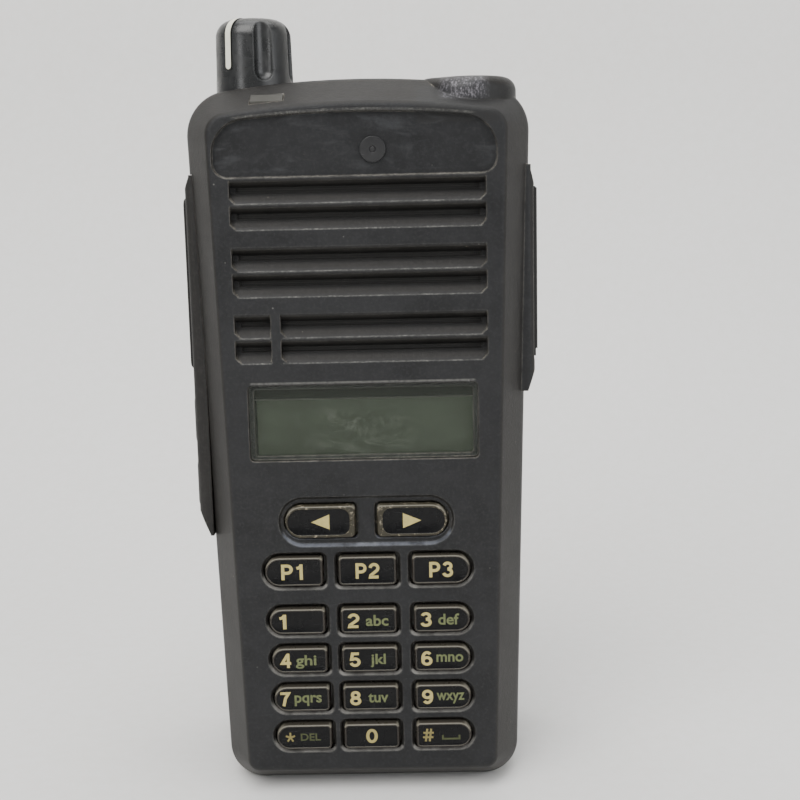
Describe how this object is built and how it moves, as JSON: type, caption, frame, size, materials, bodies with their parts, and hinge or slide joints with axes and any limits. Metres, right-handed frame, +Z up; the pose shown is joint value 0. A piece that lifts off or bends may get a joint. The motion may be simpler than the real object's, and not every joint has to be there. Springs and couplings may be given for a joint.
{
  "type": "two way radio",
  "caption": "Handheld two way radio with keypad, display, louvred speaker grille, volume knob, antenna socket, side talk button, battery pack and belt clip.",
  "frame": {"origin": "bottom centre of the whole object, keys and belt clip included", "axes": "+Z up, the front face looks along -Y, +X to the right seen from the front"},
  "size_m": [0.0636, 0.0478, 0.1414],
  "materials": {
    "housing": "fine matte texture, polished on worn edges",
    "side_rubber": "matte",
    "side_trim": "matte",
    "key": "gloss",
    "knob": "gloss",
    "mark": "painted line",
    "lens": "clear",
    "lcd": "greenish grey display",
    "holder": "matte",
    "cloth": "fine woven cloth",
    "speaker_metal": "satin",
    "cone": "matte film",
    "silicone": "matte",
    "circuit": "solder mask",
    "dome": "satin",
    "steel": "satin",
    "alloy": "cast",
    "gold": "plated",
    "light": "translucent",
    "badge": "satin",
    "battery_case": "fine matte texture",
    "cell": "wrapped",
    "clip_plastic": "matte",
    "contact_block": "matte"
  },
  "bodies": {
    "radio_body": {"front_housing": "housing", "display_lens": "lens", "lcd_panel": "lcd", "lcd_holder": "holder", "speaker_frame": "speaker_metal", "speaker_cone": "cone", "speaker_cloth": "cloth", "microphone": "steel", "microphone_boot": "silicone", "keypad_mat": "silicone", "keypad_board": "circuit", "key_domes": "dome", "main_board": "circuit", "shield_cans": "steel", "board_screws": "steel", "chassis": "alloy", "main_seal": "silicone", "battery_contacts": "contact_block", "volume_control": "steel", "antenna_socket": "gold", "status_light": "light", "badge": "badge", "side_bezel": "side_trim", "side_switches": "circuit", "cover_pin": "steel", "accessory_jack": "contact_block", "latch_spring": "steel"},
    "volume_knob": {"volume_knob": "knob", "knob_mark": "mark", "volume_shaft": "steel"},
    "talk_button": {"talk_button": "side_rubber"},
    "side_key_upper": {"side_key_upper": "side_rubber"},
    "side_key_lower": {"side_key_lower": "side_rubber"},
    "accessory_cover": {"accessory_cover": "side_rubber"},
    "battery": {"battery_base": "battery_case", "battery_cover": "battery_case", "battery_cells": "cell", "battery_pads": "gold", "clip_bracket": "clip_plastic", "clip_pin": "steel", "clip_spring": "steel"},
    "battery_latch": {"battery_latch": "clip_plastic"},
    "belt_clip": {"belt_clip": "clip_plastic"},
    "key_left": {"key_left": "key"},
    "key_right": {"key_right": "key"},
    "key_p1": {"key_p1": "key"},
    "key_p2": {"key_p2": "key"},
    "key_p3": {"key_p3": "key"},
    "key_1": {"key_1": "key"},
    "key_2": {"key_2": "key"},
    "key_3": {"key_3": "key"},
    "key_4": {"key_4": "key"},
    "key_5": {"key_5": "key"},
    "key_6": {"key_6": "key"},
    "key_7": {"key_7": "key"},
    "key_8": {"key_8": "key"},
    "key_9": {"key_9": "key"},
    "key_star": {"key_star": "key"},
    "key_0": {"key_0": "key"},
    "key_hash": {"key_hash": "key"}
  },
  "joints": [
    {"name": "key_left_press", "type": "slide", "parent": "radio_body", "child": "key_left", "axis": [0, 1, 0], "range_m": [0, 0.0008], "stiffness_N_per_m": 1500, "springref_m": -0.0005},
    {"name": "key_right_press", "type": "slide", "parent": "radio_body", "child": "key_right", "axis": [0, 1, 0], "range_m": [0, 0.0008], "stiffness_N_per_m": 1500, "springref_m": -0.0005},
    {"name": "key_p1_press", "type": "slide", "parent": "radio_body", "child": "key_p1", "axis": [0, 1, 0], "range_m": [0, 0.0008], "stiffness_N_per_m": 1500, "springref_m": -0.0005},
    {"name": "key_p2_press", "type": "slide", "parent": "radio_body", "child": "key_p2", "axis": [0, 1, 0], "range_m": [0, 0.0008], "stiffness_N_per_m": 1500, "springref_m": -0.0005},
    {"name": "key_p3_press", "type": "slide", "parent": "radio_body", "child": "key_p3", "axis": [0, 1, 0], "range_m": [0, 0.0008], "stiffness_N_per_m": 1500, "springref_m": -0.0005},
    {"name": "key_1_press", "type": "slide", "parent": "radio_body", "child": "key_1", "axis": [0, 1, 0], "range_m": [0, 0.0008], "stiffness_N_per_m": 1500, "springref_m": -0.0005},
    {"name": "key_2_press", "type": "slide", "parent": "radio_body", "child": "key_2", "axis": [0, 1, 0], "range_m": [0, 0.0008], "stiffness_N_per_m": 1500, "springref_m": -0.0005},
    {"name": "key_3_press", "type": "slide", "parent": "radio_body", "child": "key_3", "axis": [0, 1, 0], "range_m": [0, 0.0008], "stiffness_N_per_m": 1500, "springref_m": -0.0005},
    {"name": "key_4_press", "type": "slide", "parent": "radio_body", "child": "key_4", "axis": [0, 1, 0], "range_m": [0, 0.0008], "stiffness_N_per_m": 1500, "springref_m": -0.0005},
    {"name": "key_5_press", "type": "slide", "parent": "radio_body", "child": "key_5", "axis": [0, 1, 0], "range_m": [0, 0.0008], "stiffness_N_per_m": 1500, "springref_m": -0.0005},
    {"name": "key_6_press", "type": "slide", "parent": "radio_body", "child": "key_6", "axis": [0, 1, 0], "range_m": [0, 0.0008], "stiffness_N_per_m": 1500, "springref_m": -0.0005},
    {"name": "key_7_press", "type": "slide", "parent": "radio_body", "child": "key_7", "axis": [0, 1, 0], "range_m": [0, 0.0008], "stiffness_N_per_m": 1500, "springref_m": -0.0005},
    {"name": "key_8_press", "type": "slide", "parent": "radio_body", "child": "key_8", "axis": [0, 1, 0], "range_m": [0, 0.0008], "stiffness_N_per_m": 1500, "springref_m": -0.0005},
    {"name": "key_9_press", "type": "slide", "parent": "radio_body", "child": "key_9", "axis": [0, 1, 0], "range_m": [0, 0.0008], "stiffness_N_per_m": 1500, "springref_m": -0.0005},
    {"name": "key_star_press", "type": "slide", "parent": "radio_body", "child": "key_star", "axis": [0, 1, 0], "range_m": [0, 0.0008], "stiffness_N_per_m": 1500, "springref_m": -0.0005},
    {"name": "key_0_press", "type": "slide", "parent": "radio_body", "child": "key_0", "axis": [0, 1, 0], "range_m": [0, 0.0008], "stiffness_N_per_m": 1500, "springref_m": -0.0005},
    {"name": "key_hash_press", "type": "slide", "parent": "radio_body", "child": "key_hash", "axis": [0, 1, 0], "range_m": [0, 0.0008], "stiffness_N_per_m": 1500, "springref_m": -0.0005},
    {"name": "talk_button_press", "type": "slide", "parent": "radio_body", "child": "talk_button", "axis": [1, 0, 0], "range_m": [0, 0.001], "stiffness_N_per_m": 2500, "springref_m": -0.0006},
    {"name": "side_key_upper_press", "type": "slide", "parent": "radio_body", "child": "side_key_upper", "axis": [1, 0, 0], "range_m": [0, 0.001], "stiffness_N_per_m": 2500, "springref_m": -0.0006},
    {"name": "side_key_lower_press", "type": "slide", "parent": "radio_body", "child": "side_key_lower", "axis": [1, 0, 0], "range_m": [0, 0.001], "stiffness_N_per_m": 2500, "springref_m": -0.0006},
    {"name": "volume_turn", "type": "hinge", "parent": "radio_body", "child": "volume_knob", "pos_m": [-0.0187, -0.00805, 0.13], "axis": [0, 0, 1], "range_deg": [-280, 0]},
    {"name": "accessory_cover_swing", "type": "hinge", "parent": "radio_body", "child": "accessory_cover", "pos_m": [0.03, -0.00385, 0.095], "axis": [0, 0, 1], "range_deg": [0, 100]},
    {"name": "battery_slide", "type": "slide", "parent": "radio_body", "child": "battery", "axis": [0, 1, 0], "range_m": [0, 0.03]},
    {"name": "battery_latch_press", "type": "slide", "parent": "radio_body", "child": "battery_latch", "axis": [0, -1, 0], "range_m": [0, 0.002], "stiffness_N_per_m": 900, "springref_m": -0.0008, "deforming": ["latch_spring"]},
    {"name": "belt_clip_squeeze", "type": "hinge", "parent": "battery", "child": "belt_clip", "pos_m": [0, 0.02035, 0.099], "axis": [1, 0, 0], "range_deg": [0, 18], "stiffness_Nm_per_rad": 0.25, "springref_deg": -20.05, "deforming": ["clip_spring"]}
  ]
}
